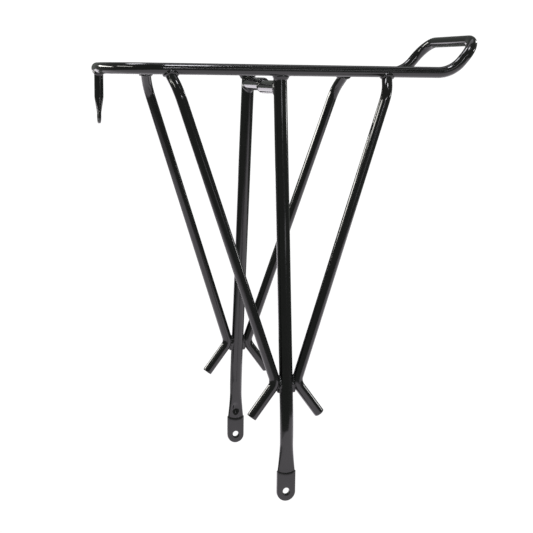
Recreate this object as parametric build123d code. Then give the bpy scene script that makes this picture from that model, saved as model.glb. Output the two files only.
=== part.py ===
from build123d import *
from math import sin, cos, tan, atan, radians, degrees
import os

# Rear rack for a bicycle, welded from round steel tube.
# Millimetres.  +X points to the back of the bicycle, +Y to its right side, +Z up.
# The origin is midway between the bolt holes of the two feet.

# deck loop: one tube bent into a flat frame whose rear end turns up as a hoop
DECK_Z = 395.0            # height of the deck tube's centre line
DECK_HALF_WIDTH = 60.0    # centre line of a side rail
DECK_OD = 10.5
DECK_WALL = 1.5
FRONT_X = -160.5          # centre line of the front bar
FRONT_CORNER_R = 53.0
HOOP_START_X = 157.0      # where the rails start to turn up
HOOP_BEND_R = 33.0
HOOP_ANGLE = 49.5         # slope of the hoop above the deck, degrees
HOOP_RUN = 54.5           # length of tube from HOOP_START_X to the rear bar
HOOP_CORNER_R = 21.5

# struts: the two main legs, flattened into feet at the bottom
STRUT_OD = 12.7
STRUT_WALL = 1.6
STRUT_Y_TOP = 54.5        # axis at deck height
STRUT_Y_FOOT = 92.5       # axis of the upright foot
STRUT_LEAN = 0.1154       # sideways run per unit of height
STRUT_TOP_CUT = 2.5       # the strut ends this far below the rail's centre line
FOOT_WIDTH = 18.0
FOOT_THICK = 3.2
FOOT_NECK_TOP = 46.0      # the round tube starts to flatten here
FOOT_FLAT_TOP = 17.5      # the flat tab starts here
FOOT_HOLE_D = 6.5
FOOT_END_DROP = 0.7       # centre of the rounded end below the hole
FOOT_BORE_END = 25.0      # the tube's hollow is pinched shut here

# stays: four diagonal braces that end in short stubs below the strut
STAY_OD = 10.0
STAY_WALL = 1.5
STAY_X_TOP = 106.5        # straight line of the stay at deck height
STAY_Y_TOP = 72.0
ELBOW_X = 10.1            # corner of the bend beside the strut
ELBOW_Z = 105.0
ELBOW_R = 12.0
STUB_ANGLE = 36.5         # from the vertical, degrees
STUB_LENGTH = 39.5        # from the corner of the elbow
STAY_BEND_START = 28.0    # the inward bend starts this far below the rail
STAY_BEND_R = 27.0
STAY_BEND_ANGLE = 40.0
STAY_TOP_CUT = 2.5

# bridge: two short tubes, butt welded in the middle, that tie the struts
BRIDGE_OD = 12.7
BRIDGE_WALL = 1.5
BRIDGE_DROP = 15.5        # axis below the deck's centre line
BRIDGE_GAP = 0.4          # root gap of the butt weld

# tongue: front fixing tab
TONGUE_OD = 8.5
TONGUE_WALL = 1.15
TONGUE_WIDTH = 13.0
TONGUE_THICK = 2.3
TONGUE_ROUND_END = 24.0   # all four distances are below the deck's centre line
TONGUE_BORE_END = 37.0
TONGUE_FLAT_START = 41.0
TONGUE_HOLE_DROP = 45.0
TONGUE_HOLE_D = 5.5

# weld beads: leg along the branch tube and leg out along the main tube
RAIL_STRUT_BEAD = (9.0, 2.6)
RAIL_STAY_BEAD = (6.0, 2.0)
BRIDGE_BEAD = (3.5, 2.0)
TONGUE_BEAD = (4.0, 1.6)
SEAM_BEAD = (2.6, 1.2)    # half width and height of the seam round the bridge
NODE_BEAD = (3.6, 5.0, 9.0)  # half sizes of the bead between stay and strut

SIDES = (("left", -1), ("right", 1))
ENDS = (("front", -1), ("rear", 1))


def tube(path, start, direction, outer_r):
    """A round bar of the given radius along a path."""
    return sweep(Plane(origin=start, z_dir=direction) * Circle(outer_r), path=path)


def rod(a, b, r):
    """A straight round bar between two points."""
    a, b = Vector(*a), Vector(*b)
    return extrude(Plane(origin=a, z_dir=b - a) * Circle(r), (b - a).length)


def biggest(shape):
    return max(shape.solids(), key=lambda s: s.volume)


def above(z):
    """A large block that covers everything above a height."""
    return Pos(0, 0, z + 250) * Box(900, 500, 500)


def deck_path():
    """Centre line of the deck loop, from the middle of the front bar round to it again."""
    a = radians(HOOP_ANGLE)
    w, z = DECK_HALF_WIDTH, DECK_Z
    bend_run = HOOP_BEND_R * a

    def hoop_point(s):
        rest = s - bend_run
        return (HOOP_START_X + HOOP_BEND_R * sin(a) + rest * cos(a),
                z + HOOP_BEND_R * (1 - cos(a)) + rest * sin(a))

    def half(side):
        y = side * w
        mid = radians(45)
        front_in = FRONT_X + FRONT_CORNER_R
        corner = (front_in - FRONT_CORNER_R * cos(mid), y - side * FRONT_CORNER_R * (1 - sin(mid)), z)
        x1, z1 = hoop_point(HOOP_RUN - HOOP_CORNER_R)
        x2, z2 = hoop_point(HOOP_RUN - HOOP_CORNER_R * (1 - sin(mid)))
        x3, z3 = hoop_point(HOOP_RUN)
        xb, zb = HOOP_START_X + HOOP_BEND_R * sin(a), z + HOOP_BEND_R * (1 - cos(a))
        xm, zm = HOOP_START_X + HOOP_BEND_R * sin(a / 2), z + HOOP_BEND_R * (1 - cos(a / 2))
        return [
            Line((FRONT_X, 0, z), (FRONT_X, y - side * FRONT_CORNER_R, z)),
            ThreePointArc((FRONT_X, y - side * FRONT_CORNER_R, z), corner, (front_in, y, z)),
            Line((front_in, y, z), (HOOP_START_X, y, z)),
            ThreePointArc((HOOP_START_X, y, z), (xm, y, zm), (xb, y, zb)),
            Line((xb, y, zb), (x1, y, z1)),
            ThreePointArc((x1, y, z1), (x2, y - side * HOOP_CORNER_R * (1 - cos(mid)), z2),
                          (x3, y - side * HOOP_CORNER_R, z3)),
            Line((x3, y - side * HOOP_CORNER_R, z3), (x3, 0, z3)),
        ]

    return Wire(half(-1) + half(1))


def strut_y(z):
    return STRUT_Y_TOP + (DECK_Z - z) * STRUT_LEAN


def strut_axis(side):
    """Top, knee and bottom points of a strut's centre line."""
    knee_z = DECK_Z - (STRUT_Y_FOOT - STRUT_Y_TOP) / STRUT_LEAN
    return ((0, side * STRUT_Y_TOP, DECK_Z), (0, side * STRUT_Y_FOOT, knee_z), (0, side * STRUT_Y_FOOT, 0))


def stay_direction(side, end):
    """Unit vector up a stay's straight part, and its elbow corner."""
    elbow = Vector(end * ELBOW_X, side * strut_y(ELBOW_Z), ELBOW_Z)
    top = Vector(end * STAY_X_TOP, side * STAY_Y_TOP, DECK_Z)
    return (top - elbow).normalized(), elbow


def stay_path(side, end):
    """Centre line of a stay from the tip of its stub to inside the rail."""
    up, elbow = stay_direction(side, end)
    a = radians(STUB_ANGLE)
    down = Vector(end * sin(a), 0, -cos(a))
    half_turn = up.get_angle(down) / 2
    cut = ELBOW_R / tan(radians(half_turn))
    tip = elbow + down * STUB_LENGTH
    p1, p2 = elbow + down * cut, elbow + up * cut
    inner = (up + down).normalized()
    mid = elbow + inner * (ELBOW_R / sin(radians(half_turn)) - ELBOW_R)
    start = elbow + up * ((DECK_Z - STAY_BEND_START - ELBOW_Z) / up.Z)
    inward = Vector(0, -side, 0)
    normal = (inward - up * inward.dot(up)).normalized()

    def on_bend(t):
        return start + up * (STAY_BEND_R * sin(t)) + normal * (STAY_BEND_R * (1 - cos(t)))

    turn = radians(STAY_BEND_ANGLE)
    bent = on_bend(turn)
    leave = up * cos(turn) + normal * sin(turn)
    end_point = bent + leave * ((DECK_Z - bent.Z) / leave.Z)
    path = Wire([Line(tip, p1), ThreePointArc(p1, mid, p2), Line(p2, start),
                 ThreePointArc(start, on_bend(turn / 2), bent), Line(bent, end_point)])
    return path, tip, down, bent, leave


def tab_profile(width, thick, plane):
    return plane * SlotOverall(width, thick)


def ring_bead(base, direction, tube_r, legs):
    """Fillet bead round a branch tube: widest at its base, fading out along the direction."""
    run, rise = legs
    profile = make_face(Polyline((tube_r - 0.6, -1.5), (tube_r + rise, -1.5), (tube_r + rise, 0),
                                 (tube_r + rise * 0.38, run * 0.42), (tube_r + 0.15, run),
                                 (tube_r - 0.6, run), close=True))
    ring = revolve(Plane.XZ * profile, axis=Axis.Z)
    return Plane(origin=base, z_dir=direction) * ring


parts = {}

# deck loop
deck_wire = deck_path()
deck_solid = tube(deck_wire, (FRONT_X, 0, DECK_Z), (0, -1, 0), DECK_OD / 2)
deck_hollow = tube(deck_wire, (FRONT_X, 0, DECK_Z), (0, -1, 0), DECK_OD / 2 - DECK_WALL)
parts["deck_loop"] = deck_solid - deck_hollow

# struts with flattened feet: the left one is the right one's mirror image
top, knee, foot = strut_axis(1)
neck_point = (0, STRUT_Y_FOOT, FOOT_NECK_TOP)
outer = rod(knee, top, STRUT_OD / 2) + Pos(*knee) * Sphere(STRUT_OD / 2) + rod(neck_point, knee, STRUT_OD / 2)
neck = Plane(origin=neck_point)
tab = Plane(origin=(0, STRUT_Y_FOOT, FOOT_FLAT_TOP))
outer += loft([neck * Circle(STRUT_OD / 2), tab_profile(FOOT_WIDTH, FOOT_THICK, tab)])
blade = extrude(Plane(origin=(0, STRUT_Y_FOOT, 0), z_dir=(0, 1, 0), x_dir=(1, 0, 0))
                * (Pos(0, FOOT_END_DROP) * Circle(FOOT_WIDTH / 2)
                   + Pos(0, (FOOT_END_DROP - FOOT_FLAT_TOP) / 2) * Rectangle(FOOT_WIDTH, FOOT_FLAT_TOP + FOOT_END_DROP)),
                FOOT_THICK / 2, both=True)
bore_end = Plane(origin=(0, STRUT_Y_FOOT, FOOT_BORE_END))
bore_r = STRUT_OD / 2 - STRUT_WALL
bore = rod(knee, top, bore_r) + Pos(*knee) * Sphere(bore_r) + rod(neck_point, knee, bore_r)
bore += loft([neck * Circle(bore_r), tab_profile(FOOT_WIDTH - 4.5, 0.8, bore_end)])
hole = rod((0, STRUT_Y_FOOT - 10, 0), (0, STRUT_Y_FOOT + 10, 0), FOOT_HOLE_D / 2)
parts["strut_right"] = biggest((outer + blade) - bore - hole - deck_solid - above(DECK_Z - STRUT_TOP_CUT))
parts["strut_left"] = mirror(parts["strut_right"], about=Plane.XZ)
strut_solids = {}
for name, side in SIDES:
    top, knee, foot = strut_axis(side)
    strut_solids[name] = rod(knee, top, STRUT_OD / 2)

# stays with stubs
stay_solids = {}
stay_tops = {}
for end_name, end in ENDS:
    for name, side in SIDES:
        path, tip, down, bent, leave = stay_path(side, end)
        solid = tube(path, tip, -down, STAY_OD / 2)
        hollow = tube(path, tip, -down, STAY_OD / 2 - STAY_WALL)
        key = f"{end_name}_{name}"
        stay_solids[key] = solid
        stay_tops[key] = (bent, leave)
        parts[f"stay_{key}"] = biggest(solid - hollow - deck_solid - above(DECK_Z - STAY_TOP_CUT))

# bridge half tubes
bridge_z = DECK_Z - BRIDGE_DROP
bridge_reach = strut_y(bridge_z)
for name, side in SIDES:
    a, b = (0, side * BRIDGE_GAP / 2, bridge_z), (0, side * bridge_reach, bridge_z)
    half_tube = rod(a, b, BRIDGE_OD / 2) - rod(a, b, BRIDGE_OD / 2 - BRIDGE_WALL)
    parts[f"bridge_tube_{name}"] = biggest(half_tube - strut_solids[name])

# front tongue
tongue_top = (FRONT_X, 0, DECK_Z)
neck_z = DECK_Z - TONGUE_ROUND_END
flat_z = DECK_Z - TONGUE_FLAT_START
hole_z = DECK_Z - TONGUE_HOLE_DROP
neck = Plane(origin=(FRONT_X, 0, neck_z), x_dir=(0, 1, 0), z_dir=(0, 0, 1))
flat = Plane(origin=(FRONT_X, 0, flat_z), x_dir=(0, 1, 0), z_dir=(0, 0, 1))
pinch = Plane(origin=(FRONT_X, 0, DECK_Z - TONGUE_BORE_END), x_dir=(0, 1, 0), z_dir=(0, 0, 1))
tongue_solid = rod((FRONT_X, 0, neck_z), tongue_top, TONGUE_OD / 2)
tongue = tongue_solid + loft([neck * Circle(TONGUE_OD / 2), tab_profile(TONGUE_WIDTH, TONGUE_THICK, flat)])
tongue += extrude(Plane(origin=(FRONT_X, 0, hole_z), z_dir=(1, 0, 0), x_dir=(0, 1, 0))
                  * (Circle(TONGUE_WIDTH / 2)
                     + Pos(0, (flat_z - hole_z) / 2) * Rectangle(TONGUE_WIDTH, flat_z - hole_z)),
                  TONGUE_THICK / 2, both=True)
tongue_bore = rod((FRONT_X, 0, neck_z), tongue_top, TONGUE_OD / 2 - TONGUE_WALL)
tongue_bore += loft([neck * Circle(TONGUE_OD / 2 - TONGUE_WALL), tab_profile(TONGUE_WIDTH - 4.0, 0.6, pinch)])
tongue_hole = rod((FRONT_X - 10, 0, hole_z), (FRONT_X + 10, 0, hole_z), TONGUE_HOLE_D / 2)
parts["front_tongue"] = biggest(tongue - tongue_bore - tongue_hole - deck_solid)

# weld beads
seam = make_face(Polyline((BRIDGE_OD / 2 - BRIDGE_WALL, -BRIDGE_GAP / 2), (BRIDGE_OD / 2, -BRIDGE_GAP / 2),
                          (BRIDGE_OD / 2, -SEAM_BEAD[0]), (BRIDGE_OD / 2 + SEAM_BEAD[1], -SEAM_BEAD[0] * 0.45),
                          (BRIDGE_OD / 2 + SEAM_BEAD[1], SEAM_BEAD[0] * 0.45), (BRIDGE_OD / 2, SEAM_BEAD[0]),
                          (BRIDGE_OD / 2, BRIDGE_GAP / 2), (BRIDGE_OD / 2 - BRIDGE_WALL, BRIDGE_GAP / 2),
                          close=True))
parts["weld_bridge_centre"] = Plane(origin=(0, 0, bridge_z), z_dir=(0, 1, 0)) * revolve(Plane.XZ * seam, axis=Axis.Z)

for name, side in SIDES:
    top, knee, foot = strut_axis(side)
    lean = (Vector(*knee) - Vector(*top)).normalized()
    base = Vector(*top) + lean * (DECK_OD / 2)
    rail_bead = ring_bead(base, lean, STRUT_OD / 2, RAIL_STRUT_BEAD)
    bridge_bar = rod((0, 0, bridge_z), (0, side * bridge_reach, bridge_z), BRIDGE_OD / 2)
    parts[f"weld_strut_{name}_top"] = biggest(rail_bead - strut_solids[name] - deck_solid - bridge_bar)
    base = (0, side * (bridge_reach - STRUT_OD / 2), bridge_z)
    bead = ring_bead(base, (0, -side, 0), BRIDGE_OD / 2, BRIDGE_BEAD)
    parts[f"weld_bridge_{name}"] = biggest(bead - strut_solids[name] - bridge_bar - deck_solid - rail_bead)

for end_name, end in ENDS:
    for name, side in SIDES:
        key = f"{end_name}_{name}"
        bent, leave = stay_tops[key]
        base = bent + leave * ((DECK_Z - DECK_OD / 2 - bent.Z) / leave.Z)
        bead = ring_bead(base, -leave, STAY_OD / 2, RAIL_STAY_BEAD)
        parts[f"weld_stay_{key}_top"] = biggest(bead - stay_solids[key] - deck_solid)

for name, side in SIDES:
    lean = side * degrees(atan(STRUT_LEAN))
    core = Pos(-STRUT_OD / 2, side * strut_y(ELBOW_Z), ELBOW_Z) * Rot(-lean, 0, 0)
    bead = biggest(core * scale(Sphere(1), by=NODE_BEAD) - stay_solids[f"front_{name}"] - strut_solids[name])
    parts[f"weld_stay_front_{name}_strut"] = bead
    parts[f"weld_stay_rear_{name}_strut"] = mirror(bead, about=Plane.YZ)

base = (FRONT_X, 0, DECK_Z - DECK_OD / 2)
bead = ring_bead(base, (0, 0, -1), TONGUE_OD / 2, TONGUE_BEAD)
parts["weld_tongue"] = biggest(bead - tongue_solid - deck_solid)

os.makedirs("parts", exist_ok=True)
for node, shape in parts.items():
    export_step(shape, f"parts/{node}.step")
    box = shape.bounding_box()
    print(node, round(shape.volume, 1), len(shape.solids()), box.min, box.max)
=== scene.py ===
import bpy
import bmesh
import random
from math import sin, cos, tan, radians, pi, sqrt
from mathutils import Vector, Matrix, Quaternion, noise


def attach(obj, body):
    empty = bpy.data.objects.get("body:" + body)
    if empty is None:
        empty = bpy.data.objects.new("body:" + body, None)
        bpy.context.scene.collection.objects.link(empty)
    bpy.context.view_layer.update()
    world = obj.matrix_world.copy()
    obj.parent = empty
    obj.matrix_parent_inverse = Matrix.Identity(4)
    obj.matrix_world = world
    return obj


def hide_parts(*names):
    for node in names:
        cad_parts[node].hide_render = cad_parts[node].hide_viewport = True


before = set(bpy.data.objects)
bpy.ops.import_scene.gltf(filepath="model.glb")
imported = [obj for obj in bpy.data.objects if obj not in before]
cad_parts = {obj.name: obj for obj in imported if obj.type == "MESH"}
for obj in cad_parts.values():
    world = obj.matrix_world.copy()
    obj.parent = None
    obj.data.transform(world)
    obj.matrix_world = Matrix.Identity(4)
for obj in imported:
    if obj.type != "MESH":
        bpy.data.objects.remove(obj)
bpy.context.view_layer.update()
MM = 0.001

# ------------------------------------------------------------------ sizes
# Millimetres, the same as the CAD part: +X to the back, +Y right, +Z up.
DECK_Z = 395.0
DECK_HALF_WIDTH = 60.0
DECK_R = 5.25
FRONT_X = -160.5
FRONT_CORNER_R = 53.0
HOOP_START_X = 157.0
HOOP_BEND_R = 33.0
HOOP_ANGLE = radians(49.5)
HOOP_RUN = 54.5
HOOP_CORNER_R = 21.5
STRUT_R = 6.35
STRUT_Y_TOP = 54.5
STRUT_Y_FOOT = 92.5
STRUT_LEAN = 0.1154
FOOT_WIDTH = 18.0
FOOT_THICK = 3.2
FOOT_NECK_TOP = 46.0      # the foot starts to widen here
FOOT_FLAT_TOP = 17.5
FOOT_HOLE_R = 3.25
FOOT_END_DROP = 0.7
STAY_R = 5.0
STAY_X_TOP = 106.5
STAY_Y_TOP = 72.0
ELBOW_X = 10.1
ELBOW_Z = 105.0
ELBOW_R = 12.0
STUB_ANGLE = radians(36.5)
STUB_LENGTH = 39.5
STAY_BEND_START = 28.0
STAY_BEND_R = 27.0
STAY_BEND_ANGLE = radians(40)
BRIDGE_R = 6.35
BRIDGE_DROP = 15.5
TONGUE_R = 4.25
TONGUE_WIDTH = 13.0
TONGUE_THICK = 2.3
TONGUE_ROUND_END = 24.0
TONGUE_FLAT_START = 41.0
TONGUE_HOLE_DROP = 45.0
TONGUE_HOLE_R = 2.75
TUBE_WALL = 1.5

# Only in the visual model
KNEE_EASE = 16.0          # a strut's knee is eased over this length each way
POCKET_Z = 29.5           # a dimple on the inner face of each foot
POCKET_X = -0.5
POCKET_HALF_WIDTH = 2.7
POCKET_HALF_HEIGHT = 4.1
POCKET_DEPTH = 2.6
FOOT_SMILE = 2.6          # how far the top of a foot's flat rises at its edges
TUCK_WIDTH = 0.25         # the pressed neck stays this far inside the flat tab
TUCK_THICK = 0.06
INTO_RAIL = 1.5           # tubes end this far under the rail's centre line
INTO_STRUT = 2.0          # the bridge ends this far short of a strut's centre line
SEAM_GAP = 0.2            # from the middle to the end of each bridge half
BRIDGE_OFFSET = {-1: -0.3, 1: 2.2}   # the two halves were welded slightly out of line

SIDES = (("left", -1), ("right", 1))
ENDS = (("front", -1), ("rear", 1))
UP = Vector((0, 0, 1))
DOWN = Vector((0, 0, -1))

# ------------------------------------------------------------------ fineness
AROUND = 48               # faces round a tube
FLAT_AROUND = 72          # faces round a flattened tube
TAB_AROUND = 96           # faces round a flat end and its hole
RUN_STEP = 1.6            # distance between rings on a straight run
FINE_STEP = 0.8           # where a tube is pressed flat, and round the deck's bends
BEND_STEP = 0.7           # round the bends of a stay
BRIDGE_STEP = 1.2
RIM_R = 0.35              # rounded rim of an open tube
BORE_EDGE = 0.25          # chamfer of its bore, and the chamfer's depth
BORE_EDGE_DEPTH = 0.2

# ------------------------------------------------------------------ unevenness
DRAWN = 0.012             # height of the unevenness of drawn and painted tube
DRAWN_LUMP = 14.0         # size of its lumps, and of the finer lumps on them
DRAWN_GRAIN = 3.2
GRAIN_SHARE = 0.2
WRINKLE_SIZE = 1.25       # wrinkles inside a bend
DECK_WRINKLE = 0.03
STAY_WRINKLE = 0.07

# ------------------------------------------------------------------ weld metal
SLEEVE = -0.10            # weld metal round a tube stays this far under its surface
SLEEVE_SINK = 0.3         # and sinks this far in at both ends
SLEEVE_AROUND = 40
BEADS = 34                # lumps round a joint
JOINT_VOXEL, JOINT_LUMP = 0.42, 0.07
SEAM_VOXEL, SEAM_SMOOTH, SEAM_LUMP = 0.32, 4, 0.12
NODE_VOXEL, NODE_SMOOTH, NODE_LUMP = 0.38, 5, 0.13
LUMP_SIZE, LUMP_FINE, FINE_SHARE = 2.6, 1.1, 0.4


# ------------------------------------------------------------------ mesh helpers
def clamp(t):
    return min(1.0, max(0.0, t))


def ease(t):
    t = clamp(t)
    return t * t * (3 - 2 * t)


def lay_line(points, a, b, step):
    """Adds points from a to b, without a itself, about a step apart."""
    a, b = Vector(a), Vector(b)
    n = max(1, round((b - a).length / step))
    for i in range(1, n + 1):
        points.append(a.lerp(b, i / n))


def lay_arc(points, centre, a, b, step):
    """Adds points round a centre from a to b, without a itself."""
    centre, a, b = Vector(centre), Vector(a), Vector(b)
    u, v = a - centre, b - centre
    angle = u.angle(v)
    axis = u.cross(v).normalized()
    n = max(2, round(u.length * angle / step))
    for i in range(1, n + 1):
        points.append(centre + Quaternion(axis, angle * i / n) @ u)


def frames(points, side, closed=False):
    """Tangent and two cross directions at each point, carried along without twist."""
    n = len(points)
    out = []
    ref = Vector(side)
    for i in range(n):
        if closed:
            t = points[(i + 1) % n] - points[i - 1]
        else:
            t = points[min(i + 1, n - 1)] - points[max(i - 1, 0)]
        t.normalize()
        ref = (ref - t * ref.dot(t)).normalized()
        out.append((t, ref.copy(), t.cross(ref)))
    return out


def mesh_object(name, verts, faces, smooth_angle=None):
    mesh = bpy.data.meshes.new(name)
    mesh.from_pydata([v * MM for v in verts], [], faces)
    mesh.validate()
    bm = bmesh.new()
    bm.from_mesh(mesh)
    bmesh.ops.recalc_face_normals(bm, faces=bm.faces)
    bm.to_mesh(mesh)
    bm.free()
    mesh.shade_smooth()
    obj = bpy.data.objects.new(name, mesh)
    bpy.context.scene.collection.objects.link(obj)
    if smooth_angle:
        mesh.set_sharp_from_angle(angle=smooth_angle)
    return obj


class Skin:
    """Collects vertices and faces for one piece made of rings."""

    def __init__(self):
        self.verts, self.faces = [], []

    def ring(self, points):
        start = len(self.verts)
        self.verts.extend(points)
        return list(range(start, start + len(points)))

    def bridge(self, a, b):
        n = len(a)
        for i in range(n):
            j = (i + 1) % n
            self.faces.append((a[i], a[j], b[j], b[i]))

    def fan(self, ring, tip):
        start = len(self.verts)
        self.verts.append(tip)
        n = len(ring)
        for i in range(n):
            self.faces.append((ring[i], ring[(i + 1) % n], start))

    def rings(self, all_rings, closed=False):
        made = [self.ring(r) for r in all_rings]
        for a, b in zip(made, made[1:]):
            self.bridge(a, b)
        if closed:
            self.bridge(made[-1], made[0])
        return made

    def capped(self, all_rings, first_tip, last_tip):
        """Rings with a fan of faces over each end."""
        made = self.rings(all_rings)
        self.fan(made[0], first_tip)
        self.fan(made[-1], last_tip)


def circle_ring(p, e1, e2, r, n=AROUND):
    return [p + (e1 * cos(2 * pi * i / n) + e2 * sin(2 * pi * i / n)) * r for i in range(n)]


def wave(p, scale, seed):
    """Smooth noise from -1 to 1; scale is the size of a lump in millimetres."""
    return noise.noise(Vector(p) / scale + Vector((seed * 7.31, seed * 3.17, seed * 5.77)))


def drawn(p, n, seed, amount=DRAWN):
    """Very slight unevenness of drawn and painted tube."""
    lump = wave(p, DRAWN_LUMP, seed)
    grain = wave(p, DRAWN_GRAIN, seed + 5)
    return p + n * (amount * lump + amount * GRAIN_SHARE * grain)


# ------------------------------------------------------------------ paths
class Path:
    """A centre line, with a bend weight (0 straight, up to 1 in a bend) at each point."""

    def __init__(self, start):
        self.points, self.bends = [Vector(start)], [0.0]

    def line(self, b, step=RUN_STEP):
        n = len(self.points)
        lay_line(self.points, self.points[-1], b, step)
        self.bends.extend([0.0] * (len(self.points) - n))

    def arc(self, centre, b, step, weight=1.0):
        n = len(self.points)
        lay_arc(self.points, centre, self.points[-1], b, step)
        k = len(self.points) - n
        self.bends.extend([weight * sin(pi * (i + 0.5) / k) for i in range(k)])


def deck_points():
    """Centre line and bend weights of the deck loop."""
    a, w, z = HOOP_ANGLE, DECK_HALF_WIDTH, DECK_Z
    front_in = FRONT_X + FRONT_CORNER_R
    run0 = HOOP_BEND_R * a

    def hoop(s):
        """x and z at the distance s along the raised hoop."""
        rest = s - run0
        return (HOOP_START_X + HOOP_BEND_R * sin(a) + rest * cos(a),
                z + HOOP_BEND_R * (1 - cos(a)) + rest * sin(a))

    def half(side):
        y = side * w
        front_y, hoop_y = y - side * FRONT_CORNER_R, y - side * HOOP_CORNER_R
        xb, zb = hoop(run0)
        x1, z1 = hoop(HOOP_RUN - HOOP_CORNER_R)
        x3, z3 = hoop(HOOP_RUN)
        path = Path((FRONT_X, 0, z))
        path.line((FRONT_X, front_y, z))
        path.arc((front_in, front_y, z), (front_in, y, z), FINE_STEP)
        path.line((HOOP_START_X, y, z))
        path.arc((HOOP_START_X, y, z + HOOP_BEND_R), (xb, y, zb), FINE_STEP)
        path.line((x1, y, z1))
        path.arc((x1, hoop_y, z1), (x3, hoop_y, z3), FINE_STEP)
        path.line((x3, 0, z3))
        return path

    near, far = half(-1), half(1)
    return near.points + far.points[-2:0:-1], near.bends + far.bends[-2:0:-1]


def strut_y(z):
    return STRUT_Y_TOP + (DECK_Z - z) * STRUT_LEAN


def stay_line(side, end):
    """Path of a stay from its stub's tip; also where its top bend ends, and its direction there."""
    elbow = Vector((end * ELBOW_X, side * strut_y(ELBOW_Z), ELBOW_Z))
    top = Vector((end * STAY_X_TOP, side * STAY_Y_TOP, DECK_Z))
    up = (top - elbow).normalized()
    down = Vector((end * sin(STUB_ANGLE), 0, -cos(STUB_ANGLE)))
    half = up.angle(down) / 2
    cut = ELBOW_R / tan(half)
    elbow_centre = elbow + (up + down).normalized() * (ELBOW_R / sin(half))
    start = elbow + up * ((DECK_Z - STAY_BEND_START - ELBOW_Z) / up.z)
    inward = Vector((0, -side, 0))
    normal = (inward - up * inward.dot(up)).normalized()
    t = STAY_BEND_ANGLE
    bent = start + up * (STAY_BEND_R * sin(t)) + normal * (STAY_BEND_R * (1 - cos(t)))
    leave = up * cos(t) + normal * sin(t)
    path = Path(elbow + down * STUB_LENGTH)
    path.line(elbow + down * cut)
    path.arc(elbow_centre, elbow + up * cut, BEND_STEP, 0.6)
    path.line(start)
    path.arc(start + normal * STAY_BEND_R, bent, BEND_STEP)
    path.line(bent + leave * ((DECK_Z - bent.z) / leave.z), FINE_STEP)
    return path, bent, leave


# ------------------------------------------------------------------ tubes
def tube_skin(points, bends, r, side, seed, bore=None, wrinkle=0.0):
    """A swept tube with slightly wrinkled bends. With a bore it is hollow and its first
    point is an open end, and without one it is a closed loop."""
    closed = bore is None
    skin = Skin()
    fr = frames(points, side, closed)
    rings = []
    run = 0.0
    for i, (p, bend, (_, e1, e2)) in enumerate(zip(points, bends, fr)):
        if i:
            run += (p - points[i - 1]).length
        ring = []
        for k in range(AROUND):
            a = 2 * pi * k / AROUND
            n = e1 * cos(a) + e2 * sin(a)
            q = drawn(p + n * r, n, seed)
            if bend:
                at = Vector((run * 0.9, a * r * 0.55, seed))
                q = q + n * (bend * wrinkle * wave(at, WRINKLE_SIZE, seed))
            ring.append(q)
        rings.append(ring)
    if closed:
        skin.rings(rings, closed=True)
        return skin
    # rounded rim at the open end, then the bore
    t, e1, e2 = fr[0]
    rim = [skin.ring(circle_ring(points[0] + t * RIM_R * (1 - cos(b)), e1, e2,
                                 r - RIM_R + RIM_R * sin(b)))
           for b in (0.0, radians(30), radians(60))]
    for x, y in zip(rim, rim[1:]):
        skin.bridge(x, y)
    body = skin.rings(rings[1:])
    skin.bridge(rim[-1], body[0])
    mouth = skin.ring(circle_ring(points[0] + t * BORE_EDGE_DEPTH, e1, e2, bore))
    edge = skin.ring(circle_ring(points[0], e1, e2, bore + BORE_EDGE))
    skin.bridge(edge, rim[0])
    skin.bridge(mouth, edge)
    inner = skin.rings([circle_ring(p, f1, f2, bore) for p, (_, f1, f2) in zip(points, fr)][1:])
    skin.bridge(inner[0], mouth)
    skin.bridge(body[-1], inner[-1])
    return skin


def stadium(u, a, b):
    """Point at the fraction u of the way round a slot a half wide and b half thick,
    from the middle of its right-hand end."""
    straight = max(a - b, 0.0)
    quarter = pi * b / 2
    s = (u % 1.0) * (4 * straight + 2 * pi * b)
    if s < quarter:
        t = s / b
        return straight + b * cos(t), b * sin(t)
    s -= quarter
    if s < 2 * straight:
        return straight - s, b
    s -= 2 * straight
    if s < 2 * quarter:
        t = pi / 2 + s / b
        return -straight + b * cos(t), b * sin(t)
    s -= 2 * quarter
    if s < 2 * straight:
        return -straight + s, -b
    s -= 2 * straight
    t = 3 * pi / 2 + s / b
    return straight + b * cos(t), b * sin(t)


def flattened_rings(levels, r, across, thick, width, thickness, seed, extra=None):
    """Rings from a round tube of radius r down to a flat slot. Each level is
    (point, widening, flattening), the last two from 0 to 1."""
    rings = []
    for p, wide, flat in levels:
        b = r + (thickness / 2 - r) * flat
        a = max(r + (width / 2 - r) * wide, b)
        ring = []
        for k in range(FLAT_AROUND):
            x, y = stadium(k / FLAT_AROUND, a, b)
            normal = (across * (x / a) + thick * (y / b)).normalized()
            q = drawn(p + across * x + thick * y, normal, seed, DRAWN + DRAWN * flat)
            if extra:
                q = extra(q, x, y)
            ring.append(q)
        rings.append(ring)
    return rings


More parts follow.
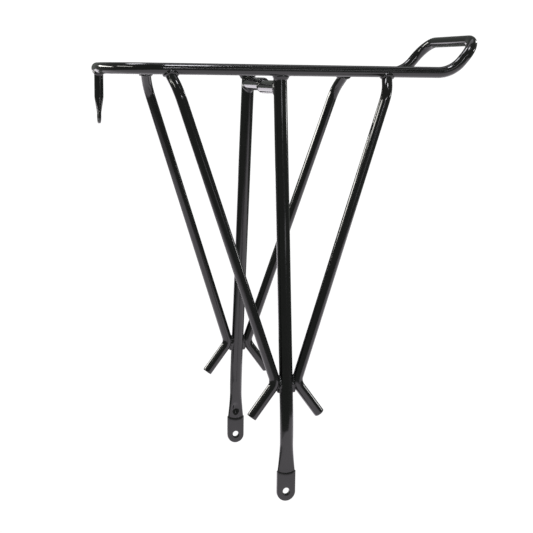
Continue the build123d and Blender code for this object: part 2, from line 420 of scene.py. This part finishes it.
def tab_skin(skin, centre, across, thick, width, thickness, hole_r, top, end_drop, edge, smile=0.0):
    """A flat end with a round hole and a rounded end, its edges softened. The centre is the
    hole's, the flat goes up from it by top, and by smile more at its sides."""
    half_w = width / 2
    h = thickness / 2
    chamfer = 0.3          # round the hole
    lip_r = hole_r + chamfer

    def outline(a, inset):
        """Distance from the hole's centre to the outline; a is 0 across and pi/2 down."""
        c, s = cos(a), sin(a)
        w = half_w - inset
        # the rounded end is a circle round the point end_drop below the hole
        disc = w * w - (end_drop * c) ** 2
        if disc > 0:
            rho = end_drop * s + sqrt(disc)
            if rho * s >= end_drop - 1e-9:
                return rho
        rho = side = w / abs(c) if abs(c) > 1e-9 else 1e9
        if s < 0:
            edge_z = top - inset
            rho = min(side, edge_z / -s)
            for _ in range(4):
                rho = min(side, (edge_z + smile * (rho * c / half_w) ** 2) / -s)
        return rho

    def loop(fn, depth):
        return [centre + (across * cos(a) + DOWN * sin(a)) * fn(a) + thick * depth
                for a in (2 * pi * (k + 0.5) / TAB_AROUND for k in range(TAB_AROUND))]

    def face_loop(f, depth):
        """A loop on a flat face, the fraction f of the way from the hole to the edge."""
        return loop(lambda a: lip_r + (outline(a, edge) - lip_r) * f, depth)

    # the softened edge from the top face to the middle, as (inset, depth)
    outer = [(edge, h)] + [(edge * (1 - cos(radians(b))), h - edge + edge * sin(radians(b)))
                           for b in (60, 30, 0)]
    profile = outer + [(i, -d) for i, d in reversed(outer)]
    # the hole's wall from top chamfer to bottom chamfer, as (radius, depth)
    hole = [(lip_r, h), (hole_r + chamfer * 0.3, h - chamfer * 0.3), (hole_r, h - chamfer)]
    hole += [(r, -d) for r, d in reversed(hole)]
    rings = [loop(lambda a, r=r: r, d) for r, d in hole]
    rings += [face_loop(f, -h) for f in (0.33, 0.66)]
    rings += [loop(lambda a, inset=inset: outline(a, inset), d) for inset, d in reversed(profile)]
    rings += [face_loop(f, h) for f in (0.66, 0.33)]
    skin.rings(rings, closed=True)


def strut_piece(name, side, seed):
    knee_z = DECK_Z - (STRUT_Y_FOOT - STRUT_Y_TOP) / STRUT_LEAN
    knee = Vector((0, side * STRUT_Y_FOOT, knee_z))
    top = Vector((0, side * strut_y(DECK_Z - INTO_RAIL), DECK_Z - INTO_RAIL))
    lean = (knee - top).normalized()
    a, b = knee - lean * KNEE_EASE, knee + DOWN * KNEE_EASE
    pts = [top]
    lay_line(pts, top, a, RUN_STEP)
    for i in range(1, 20):
        t = i / 20
        pts.append(a * (1 - t) ** 2 + knee * 2 * t * (1 - t) + b * t * t)
    lay_line(pts, b, Vector((0, side * STRUT_Y_FOOT, FOOT_FLAT_TOP - 5.0)), FINE_STEP)
    across, thick = Vector((1, 0, 0)), Vector((0, 1, 0))
    press_top, press_end = knee_z - 6, FOOT_FLAT_TOP + 4.5
    levels = []
    for p in pts:
        wide = clamp((FOOT_NECK_TOP - p.z) / (FOOT_NECK_TOP - FOOT_FLAT_TOP + 1))
        flat = clamp((press_top - p.z) / (press_top - press_end))
        levels.append((p, min(1.0, 1.05 * wide ** 1.4), 0.3 * ease(flat) + 0.7 * flat))

    def shaped(q, x, y):
        """A pocket on the inner face, where the wall folded in as the foot was pressed."""
        inner = -side
        if y * inner > 0 and q.z < 60:
            d2 = (((x - POCKET_X) / POCKET_HALF_WIDTH) ** 2
                  + ((q.z - POCKET_Z) / POCKET_HALF_HEIGHT) ** 2)
            if d2 < 4:
                q = q - Vector((0, inner * POCKET_DEPTH * (1 - d2 / 4) ** 2, 0))
        return q

    skin = Skin()
    rings = flattened_rings(levels, STRUT_R, across, thick, FOOT_WIDTH - TUCK_WIDTH,
                            FOOT_THICK - TUCK_THICK, seed, shaped)
    skin.capped(rings, pts[0], pts[-1])
    tab_skin(skin, Vector((0, side * STRUT_Y_FOOT, 0)), across, thick, FOOT_WIDTH, FOOT_THICK,
             FOOT_HOLE_R, FOOT_FLAT_TOP + 1.0, FOOT_END_DROP, 0.35, FOOT_SMILE)
    return mesh_object(name, skin.verts, skin.faces, radians(40))


def tongue_piece(name, seed):
    across, thick = Vector((0, 1, 0)), Vector((1, 0, 0))
    top = Vector((FRONT_X, 0, DECK_Z - 1))
    pts = [top]
    lay_line(pts, top, Vector((FRONT_X, 0, DECK_Z - TONGUE_FLAT_START)), FINE_STEP)
    z0, z1 = DECK_Z - TONGUE_ROUND_END - 2.5, DECK_Z - TONGUE_FLAT_START - 1.5
    press = [clamp((z0 - p.z) / (z0 - z1)) for p in pts]
    levels = [(p, t, 0.25 * ease(t) + 0.75 * t) for p, t in zip(pts, press)]
    skin = Skin()
    rings = flattened_rings(levels, TONGUE_R, across, thick, TONGUE_WIDTH, TONGUE_THICK, seed)
    skin.capped(rings, pts[0], pts[-1])
    tab_skin(skin, Vector((FRONT_X, 0, DECK_Z - TONGUE_HOLE_DROP)), across, thick, TONGUE_WIDTH,
             TONGUE_THICK, TONGUE_HOLE_R, TONGUE_HOLE_DROP - TONGUE_FLAT_START + 1, 0.0, 0.6)
    return mesh_object(name, skin.verts, skin.faces, radians(40))


# ------------------------------------------------------------------ welds
def barrel(skin, points, r):
    """A sleeve of weld metal just under a tube's surface, sunk in further at both ends."""
    last = len(points) - 1
    rings = []
    for i, (p, (_, e1, e2)) in enumerate(zip(points, frames(points, Vector((0.3, 0.5, 0.81))))):
        f = 1 - (1 - sin(pi * i / last)) ** 2.5
        rings.append(circle_ring(p, e1, e2, r - SLEEVE_SINK + (SLEEVE_SINK + SLEEVE) * f,
                                 SLEEVE_AROUND))
    skin.capped(rings, points[0], points[-1])


def ball(skin, p, r):
    """A lump of weld metal."""
    e1 = UP.orthogonal().normalized()
    e2 = UP.cross(e1)
    rows = 7
    rings = []
    for i in range(1, rows):
        b = pi * i / rows
        rings.append(circle_ring(p - UP * (cos(b) * r), e1, e2, r * sin(b), 12))
    skin.capped(rings, p - UP * r, p + UP * r)


def weld_piece(name, skin, voxel, smooth, seed, lump):
    """Melts the collected lumps and sleeves into one surface, slightly uneven."""
    obj = mesh_object(name, skin.verts, skin.faces)
    rm = obj.modifiers.new("join", "REMESH")
    rm.mode = "VOXEL"
    rm.voxel_size = voxel * MM
    rm.use_smooth_shade = True
    sm = obj.modifiers.new("flow", "SMOOTH")
    sm.factor = 0.5
    sm.iterations = smooth
    dg = bpy.context.evaluated_depsgraph_get()
    mesh = bpy.data.meshes.new_from_object(obj.evaluated_get(dg))
    obj.modifiers.clear()
    obj.data = mesh
    # normals are read before any point moves
    at = [(v.co / MM, v.normal.copy()) for v in mesh.vertices]
    moved = []
    for p, n in at:
        height = wave(p, LUMP_SIZE, seed) + FINE_SHARE * wave(p, LUMP_FINE, seed + 3)
        moved.extend((p + n * (lump * height)) * MM)
    mesh.vertices.foreach_set("co", moved)
    mesh.update()
    mesh.shade_smooth()
    return obj


def on_cylinder(p, d, centre, axis, radius):
    """How far along d from p a cylinder is met first, or is nearest if it is missed."""
    w = p - centre
    dp = d - axis * d.dot(axis)
    wp = w - axis * w.dot(axis)
    a, b, c = dp.dot(dp), 2 * dp.dot(wp), wp.dot(wp) - radius * radius
    disc = b * b - 4 * a * c
    if disc < 0:
        return -b / (2 * a)
    return (-b - sqrt(disc)) / (2 * a)


def joint_weld(name, start, direction, branch_r, centre, axis, main_r, seed, bead, out,
               sleeve=3.0, rail_sleeve=3.0, smooth=9, side_bead=0.0, collar=None, tuck=0.0,
               extra=()):
    """Weld where a branch tube runs into a main tube, from start along direction.

    bead is the size of the lumps and out how far they stand off the branch; side_bead makes
    them larger along the main tube, and tuck smaller across it. sleeve and rail_sleeve are how
    far the metal goes along the branch and the main tube, collar is the branch's centre line
    where it isn't straight, and extra holds more lumps as (point, radius)."""
    rnd = random.Random(seed)
    d, axis = direction.normalized(), Vector(axis).normalized()
    e1 = d.orthogonal().normalized()
    e2 = d.cross(e1)
    skin = Skin()
    hits = []
    for i in range(BEADS):
        a = 2 * pi * i / BEADS + rnd.uniform(-0.05, 0.05)
        o = e1 * cos(a) + e2 * sin(a)
        p = start + o * branch_r
        p = p + d * on_cylinder(p, d, centre, axis, main_r)
        hits.append(p)
        along = abs(o.dot(axis))
        cross = abs(o.dot(axis.cross(d)))
        uneven = 1 + 0.10 * rnd.uniform(-1, 1)
        r = bead * uneven * (1 + side_bead * along) * (1 - tuck * cross)
        off = out * (1 + side_bead * along * 1.3) - tuck * cross * 1.6
        ball(skin, p + o * off - d * (0.5 + tuck * cross), r)
        if side_bead:
            ball(skin, p + o * out * 0.4 - d * (1.6 + along), r * 0.8)
    if collar is None:
        low = min((h - start).dot(d) for h in hits)
        high = max((h - start).dot(d) for h in hits)
        a, b = start + d * (low - sleeve), start + d * (high + 0.5)
        collar = [a.lerp(b, i / 12) for i in range(13)]
    barrel(skin, collar, branch_r)
    for p, r in extra:
        ball(skin, p, r)
    mid = sum(hits, Vector()) / BEADS
    foot = centre + axis * (mid - centre).dot(axis)
    reach = branch_r + rail_sleeve
    barrel(skin, [foot + axis * reach * (i / 8 - 1) for i in range(17)], main_r)
    return weld_piece(name, skin, JOINT_VOXEL, smooth, seed, JOINT_LUMP)


# ------------------------------------------------------------------ materials
def paint(name, bump_strength):
    """Gloss black paint over steel tube, slightly uneven, with fine orange peel."""
    mat = bpy.data.materials.new(name)
    mat.use_nodes = True
    nt = mat.node_tree
    nodes, links = nt.nodes, nt.links
    bsdf = nodes["Principled BSDF"]
    bsdf.inputs["Metallic"].default_value = 0.0
    bsdf.inputs["IOR"].default_value = 1.5
    bsdf.inputs["Coat Weight"].default_value = 0.6
    bsdf.inputs["Coat Roughness"].default_value = 0.04
    bsdf.inputs["Coat IOR"].default_value = 1.5
    coord = nodes.new("ShaderNodeTexCoord")

    def noise_node(scale, detail):
        node = nodes.new("ShaderNodeTexNoise")
        node.inputs["Scale"].default_value = scale
        node.inputs["Detail"].default_value = detail
        node.inputs["Roughness"].default_value = 0.5
        links.new(coord.outputs["Object"], node.inputs["Vector"])
        return node

    # slow drift of the black
    broad = noise_node(60, 3)
    col = nodes.new("ShaderNodeValToRGB")
    dark, light = col.color_ramp.elements
    dark.position, dark.color = 0.3, (0.0030, 0.0033, 0.0030, 1)
    light.position, light.color = 0.7, (0.0052, 0.0050, 0.0052, 1)
    links.new(broad.outputs["Fac"], col.inputs["Fac"])
    links.new(col.outputs["Color"], bsdf.inputs["Base Color"])
    # uneven gloss
    fine = noise_node(900, 2)
    rough = nodes.new("ShaderNodeMapRange")
    rough.inputs["To Min"].default_value = 0.12
    rough.inputs["To Max"].default_value = 0.18
    links.new(fine.outputs["Fac"], rough.inputs["Value"])
    links.new(rough.outputs["Result"], bsdf.inputs["Roughness"])
    # orange peel
    peel = noise_node(700, 2)
    bump = nodes.new("ShaderNodeBump")
    bump.inputs["Strength"].default_value = bump_strength
    bump.inputs["Distance"].default_value = 0.0002
    links.new(peel.outputs["Fac"], bump.inputs["Height"])
    links.new(bump.outputs["Normal"], bsdf.inputs["Normal"])
    links.new(bump.outputs["Normal"], bsdf.inputs["Coat Normal"])
    return mat


TUBE_PAINT = paint("gloss_black_paint", 0.006)
WELD_PAINT = paint("gloss_black_paint_on_weld", 0.03)


def place(obj, node, weld=False):
    obj.data.materials.clear()
    obj.data.materials.append(WELD_PAINT if weld else TUBE_PAINT)
    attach(obj, "root")
    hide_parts(node)
    return obj


# ------------------------------------------------------------------ tubes of the rack
points, bends = deck_points()
skin = tube_skin(points, bends, DECK_R, UP, 3, wrinkle=DECK_WRINKLE)
place(mesh_object("deck_loop_tube", skin.verts, skin.faces), "deck_loop")

for s_name, s in SIDES:
    place(strut_piece(f"strut_tube_{s_name}", s, 11 + s), f"strut_{s_name}")

for e_name, e in ENDS:
    for s_name, s in SIDES:
        path = stay_line(s, e)[0]
        keep = len(path.points)
        while path.points[keep - 1].z > DECK_Z - INTO_RAIL:
            keep -= 1
        skin = tube_skin(path.points[:keep], path.bends[:keep], STAY_R, (0, s, 0), 20 + 3 * e + s,
                         bore=STAY_R - TUBE_WALL, wrinkle=STAY_WRINKLE)
        obj = mesh_object(f"stay_tube_{e_name}_{s_name}", skin.verts, skin.faces, radians(50))
        place(obj, f"stay_{e_name}_{s_name}")

place(tongue_piece("front_tongue_tab", 31), "front_tongue")

BRIDGE_Z = DECK_Z - BRIDGE_DROP
for s_name, s in SIDES:
    height = BRIDGE_Z + BRIDGE_OFFSET[s]
    a = Vector((0, s * SEAM_GAP, height))
    b = Vector((0, s * (strut_y(height) - INTO_STRUT), height))
    points = [a]
    lay_line(points, a, b, BRIDGE_STEP)
    skin = tube_skin(points, [0] * len(points), BRIDGE_R, UP, 41 + s, bore=BRIDGE_R - TUBE_WALL)
    obj = mesh_object(f"bridge_half_{s_name}", skin.verts, skin.faces, radians(50))
    place(obj, f"bridge_tube_{s_name}")

# ------------------------------------------------------------------ welds of the rack
# butt weld in the middle of the bridge
rnd = random.Random(7)
skin = Skin()
seam_z = BRIDGE_Z + (BRIDGE_OFFSET[-1] + BRIDGE_OFFSET[1]) / 2
for i in range(BEADS):
    a = 2 * pi * i / BEADS
    o = Vector((cos(a), 0, sin(a)))
    p = Vector((0, rnd.uniform(-.5, .5), seam_z)) + o * (BRIDGE_R - 0.1)
    ball(skin, p, 1.05 + rnd.uniform(-.3, .35))
for s in (-1, 1):
    height = BRIDGE_Z + BRIDGE_OFFSET[s]
    barrel(skin, [Vector((0, s * (-1.0 + 0.5 * i), height)) for i in range(9)], BRIDGE_R)
obj = weld_piece("bridge_centre_bead", skin, SEAM_VOXEL, SEAM_SMOOTH, 51, SEAM_LUMP)
place(obj, "weld_bridge_centre", True)

for s_name, s in SIDES:
    # top of the strut, with more metal in the corner above the bridge
    rail = Vector((0, s * DECK_HALF_WIDTH, DECK_Z))
    strut_up = Vector((0, -s * STRUT_LEAN, 1)).normalized()
    start = Vector((0, s * strut_y(330), 330))
    height = BRIDGE_Z + BRIDGE_OFFSET[s]
    bridge_top = height + BRIDGE_R
    inner_y = strut_y(bridge_top) - STRUT_R
    corner = [(Vector((rnd.uniform(-.4, .4), s * (inner_y + 1.0 - 1.2 * i),
                       bridge_top + 1.6 - 0.10 * i)), 2.3 - 0.11 * i)
              for i in range(5)]
    obj = joint_weld(f"strut_top_bead_{s_name}", start, strut_up, STRUT_R, rail, (1, 0, 0),
                     DECK_R, 60 + s, bead=1.3, out=0.6, sleeve=5, rail_sleeve=8, side_bead=0.45,
                     smooth=12, extra=corner)
    place(obj, f"weld_strut_{s_name}_top", True)
    # end of the bridge
    obj = joint_weld(f"bridge_end_bead_{s_name}", Vector((0, s * 20, height)), Vector((0, s, 0)),
                     BRIDGE_R, Vector((0, s * strut_y(height), height)), -strut_up, STRUT_R,
                     70 + s, bead=1.5, out=0.6, tuck=0.45, side_bead=0.55)
    place(obj, f"weld_bridge_{s_name}", True)

for e_name, e in ENDS:
    for s_name, s in SIDES:
        # top of the stay
        path, bent, leave = stay_line(s, e)
        rail = Vector((0, s * DECK_HALF_WIDTH, DECK_Z))
        collar = [p for p in path.points if DECK_Z - 17 < p.z < DECK_Z - 3][::2]
        obj = joint_weld(f"stay_top_bead_{e_name}_{s_name}", bent - leave * 2, leave, STAY_R,
                         rail, (1, 0, 0), DECK_R, 80 + 3 * e + s, bead=1.45, out=0.5,
                         rail_sleeve=4, collar=collar)
        place(obj, f"weld_stay_{e_name}_{s_name}_top", True)

        # bead between the stay's elbow and the strut, laid from below the elbow upwards
        rnd = random.Random(90 + 3 * e + s)
        skin = Skin()
        for i in range(11):
            h = -8.0 + 13.5 * i / 10             # height above the elbow
            z = ELBOW_Z + h
            mid_x = e * (6.0 + (0.10 * h if h > 0 else -0.16 * h))
            mid_y = s * strut_y(z)
            spread = 2.6 - abs(h + 1.5) * 0.17
            for w in (-1, 1):
                ball(skin, Vector((mid_x, mid_y + w * spread, z)),
                     1.75 - 0.05 * abs(h + 1.5) + rnd.uniform(-.12, .12))
            ball(skin, Vector((mid_x, mid_y, z)), 1.9)
        strut_down = Vector((0, s * STRUT_LEAN, -1)).normalized()
        on_strut = Vector((0, s * strut_y(ELBOW_Z), ELBOW_Z))
        barrel(skin, [on_strut + strut_down * (-13 + i * 1.5) for i in range(19)], STRUT_R)
        barrel(skin, [p for p in path.points if abs(p.z - ELBOW_Z) < 13][::2], STAY_R)
        obj = weld_piece(f"stay_strut_bead_{e_name}_{s_name}", skin, NODE_VOXEL, NODE_SMOOTH,
                         95 + 3 * e + s, NODE_LUMP)
        place(obj, f"weld_stay_{e_name}_{s_name}_strut", True)

obj = joint_weld("tongue_bead", Vector((FRONT_X, 0, DECK_Z - 15)), UP, TONGUE_R,
                 Vector((FRONT_X, 0, DECK_Z)), (0, 1, 0), DECK_R, 99, bead=1.3, out=0.4)
place(obj, "weld_tongue", True)

# ------------------------------------------------------------------ floor, light, camera
# From here on in metres; strengths are radiance, where 1 shows as white.
WHITE = (1, 1, 1)
LILAC = (1.0, 0.955, 1.02)
WARM = (1.0, 0.99, 0.93)
COOL = (0.95, 0.95, 1.0)
HEART = Vector((0, 0, 0.25))     # the point that the softboxes face
FLOOR_Z = -0.40
LIT_Z = -0.39                    # what the paint mirrors, just above the floor in view
FADE_Z = -0.391
PAPER = 1.05                     # strength of the floor and the air behind, as the camera sees them


def sheet(name, corners, mat):
    mesh = bpy.data.meshes.new(name)
    mesh.from_pydata(corners, [], [tuple(range(len(corners)))])
    obj = bpy.data.objects.new(name, mesh)
    bpy.context.scene.collection.objects.link(obj)
    mesh.materials.append(mat)
    return obj


def glow(name, colour, strength):
    """A surface that only gives light."""
    mat = bpy.data.materials.new(name)
    mat.use_nodes = True
    nt = mat.node_tree
    nt.nodes.remove(nt.nodes["Principled BSDF"])
    e = nt.nodes.new("ShaderNodeEmission")
    e.inputs["Color"].default_value = (*colour, 1)
    e.inputs["Strength"].default_value = strength
    nt.links.new(e.outputs["Emission"], nt.nodes["Material Output"].inputs["Surface"])
    return mat


def heading(az, el):
    """Direction from the rack, in degrees: azimuth 0 is -Y and 90 is +X."""
    a, e = radians(az), radians(el)
    return Vector((sin(a) * cos(e), -cos(a) * cos(e), sin(e)))


def lamp(name, corners, strength, colour):
    """A light panel that lights the rack and is mirrored in it, but isn't in view."""
    obj = sheet(name, corners, glow(name, colour, strength))
    obj.visible_camera = False
    obj.visible_shadow = False


def softbox(name, az, el, distance, width, height, strength, colour):
    """A soft light panel that faces the rack."""
    d = heading(az, el)
    c = HEART + d * distance
    across = Vector((cos(radians(az)), sin(radians(az)), 0))
    w, h = across * width / 2, across.cross(d) * height / 2
    lamp(name, [c - w - h, c + w - h, c + w + h, c - w + h], strength, colour)


def flat_panel(name, x0, y0, x1, y1, z, strength, colour):
    """A level light panel above the rack."""
    lamp(name, [(x0, y0, z), (x0, y1, z), (x1, y1, z), (x1, y0, z)], strength, colour)


scene = bpy.context.scene
scene.view_settings.view_transform = "Standard"

# the plain white floor in view, which the rack doesn't mirror
floor = sheet("floor", [(-30, -30, FLOOR_Z), (30, -30, FLOOR_Z), (30, 30, FLOOR_Z),
                        (-30, 30, FLOOR_Z)], glow("floor_in_view", WHITE, PAPER))
floor.visible_glossy = False
floor.visible_diffuse = False
floor.visible_shadow = False

# the lit part of the floor that the rack does mirror, its dimmer border, and the lit backdrop
table = sheet("floor_lit", [(x, y, LIT_Z) for x, y in (
    (-1.3, 1.3), (-1.25, -0.3), (-0.97, -0.95), (-0.6, -1.5),
    (0.0, -1.63), (0.6, -1.95), (2.4, -2.7), (2.4, 1.3))], glow("floor_light", LILAC, 1.02))
table.visible_camera = False
fade = sheet("floor_fade", [(x, y, FADE_Z) for x, y in (
    (-1.55, 1.3), (-1.55, -0.4), (-1.2, -1.15), (-0.8, -1.75),
    (0.0, -2.0), (0.6, -2.4), (2.4, -3.4), (2.4, 1.3))], glow("floor_fade_light", LILAC, 0.5))
fade.visible_camera = False
backdrop = sheet("backdrop_lit", [(-1.6, 2.2, LIT_Z), (0.9, 2.2, LIT_Z), (0.9, 7.0, -0.30),
                                  (-3.0, 7.0, -0.30)], glow("backdrop_light", LILAC, 1.6))
backdrop.visible_camera = False

# azimuth, elevation, distance, width, height, strength
softbox("left_window", -122, 20.5, 2.24, 1.7, 0.25, 13, WARM)
softbox("left_window_front", -76, 32, 1.30, 0.62, 0.10, 11, WARM)
# x0, y0, x1, y1, z, strength
flat_panel("ceiling", -0.3, 0.1, 1.2, 1.0, 2.2, 0.9, COOL)
flat_panel("overhead_box", -0.9, 0.2, -0.35, 0.75, 2.2, 9, COOL)
flat_panel("overhead_strip", 0.12, -0.85, 0.35, -0.42, 2.0, 17, COOL)
flat_panel("overhead_edge", 0.52, -1.26, 1.2, -1.12, 2.0, 2.0, COOL)
# azimuth, elevation, distance, width, height, strength
softbox("front_lamp", 6, 21, 2.2, 0.34, 0.15, 12, COOL)
softbox("front_lamp_side", 20, 21, 2.2, 0.5, 0.12, 3, COOL)
softbox("front_lamp_low", 3.6, 14.5, 2.1, 0.26, 0.10, 4.5, COOL)
softbox("front_edge", 20, 4.2, 2.1, 0.70, 0.09, 1.4, COOL)
softbox("right_lamp", 118, 22, 2.0, 0.22, 0.22, 14, WHITE)
softbox("right_lamp_low", 89, 7.4, 2.0, 0.55, 0.13, 8, WHITE)

# the air: white in view, dim in the paint
world = bpy.data.worlds.new("studio")
scene.world = world
world.use_nodes = True
wn, wl = world.node_tree.nodes, world.node_tree.links
dim = wn["Background"]
dim.inputs["Color"].default_value = (0.14, 0.15, 0.14, 1)
seen = wn.new("ShaderNodeBackground")
seen.inputs["Color"].default_value = (*WHITE, 1)
seen.inputs["Strength"].default_value = PAPER
mix = wn.new("ShaderNodeMixShader")
ray = wn.new("ShaderNodeLightPath")
wl.new(ray.outputs["Is Camera Ray"], mix.inputs["Fac"])
wl.new(dim.outputs["Background"], mix.inputs[1])
wl.new(seen.outputs["Background"], mix.inputs[2])
wl.new(mix.outputs["Shader"], wn["World Output"].inputs["Surface"])

CAMERA_AT = Vector((-0.32456, -1.10478, 0.39072))
YAW, PITCH, ROLL = radians(-16.64), radians(9.33), radians(0.74)
cam_data = bpy.data.cameras.new("camera")
cam = bpy.data.objects.new("camera", cam_data)
bpy.context.scene.collection.objects.link(cam)
forward = Vector((-sin(YAW) * cos(PITCH), cos(YAW) * cos(PITCH), -sin(PITCH)))
level_x = Vector((cos(YAW), sin(YAW), 0))
level_y = level_x.cross(forward)
cam_x = level_x * cos(ROLL) + level_y * sin(ROLL)
cam_y = level_y * cos(ROLL) - level_x * sin(ROLL)
pose = Matrix((cam_x, cam_y, -forward)).transposed().to_4x4()
pose.translation = CAMERA_AT
cam.matrix_world = pose
cam_data.sensor_width = 36
cam_data.lens = 78.82
cam_data.clip_start, cam_data.clip_end = 0.01, 50
bpy.context.scene.camera = cam
